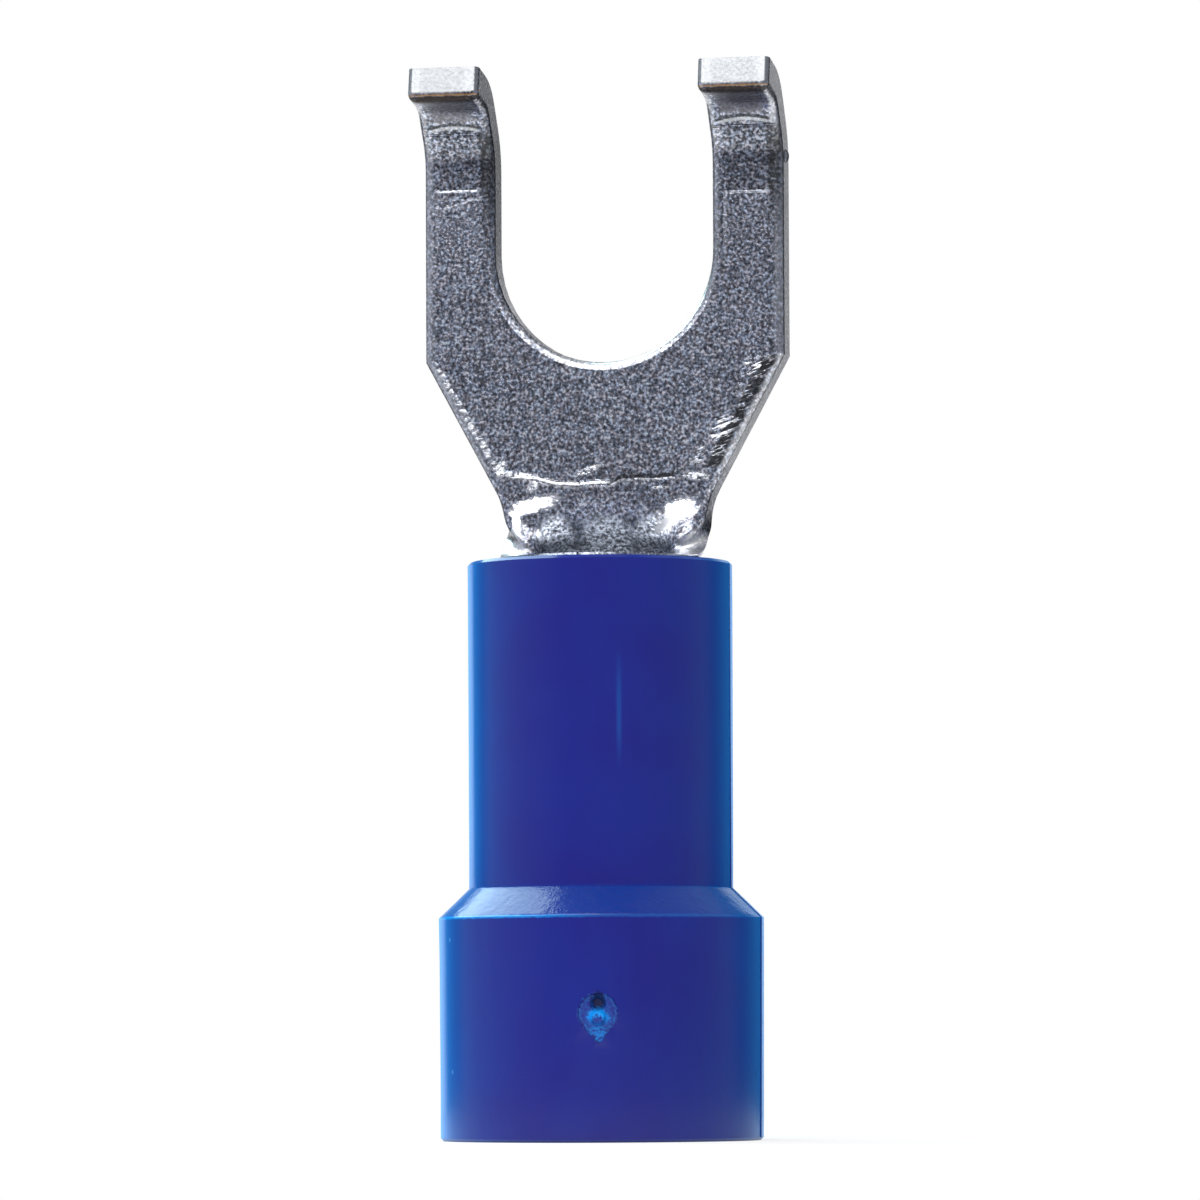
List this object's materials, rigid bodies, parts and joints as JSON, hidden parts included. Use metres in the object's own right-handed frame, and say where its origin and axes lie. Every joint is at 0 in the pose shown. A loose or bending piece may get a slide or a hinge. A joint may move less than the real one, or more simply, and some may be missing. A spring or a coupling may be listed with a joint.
{
  "type": "insulated flange terminal",
  "caption": "Flanged fork crimp terminal: an open metal fork with turned-up tips on a wire barrel inside a stepped insulating sleeve.",
  "frame": {"origin": "centre of the wire entry's mouth, in the plane of the sleeve's rim on which the terminal stands", "axes": "+Z along the wire barrel towards the fork's tips, -Y the front, to which the flanges turn up, +X across the fork to the viewer's right"},
  "size_m": [0.0076, 0.0065, 0.0215],
  "materials": {
    "tinned_copper": "satin electro-tinned copper, finely pitted, with bright worn edges",
    "blue_sleeve": "smooth moulded plastic in deep blue, slightly see-through at its edges"
  },
  "bodies": {
    "root": {"fork_terminal": "tinned_copper", "insulating_sleeve": "blue_sleeve"}
  },
  "joints": []
}
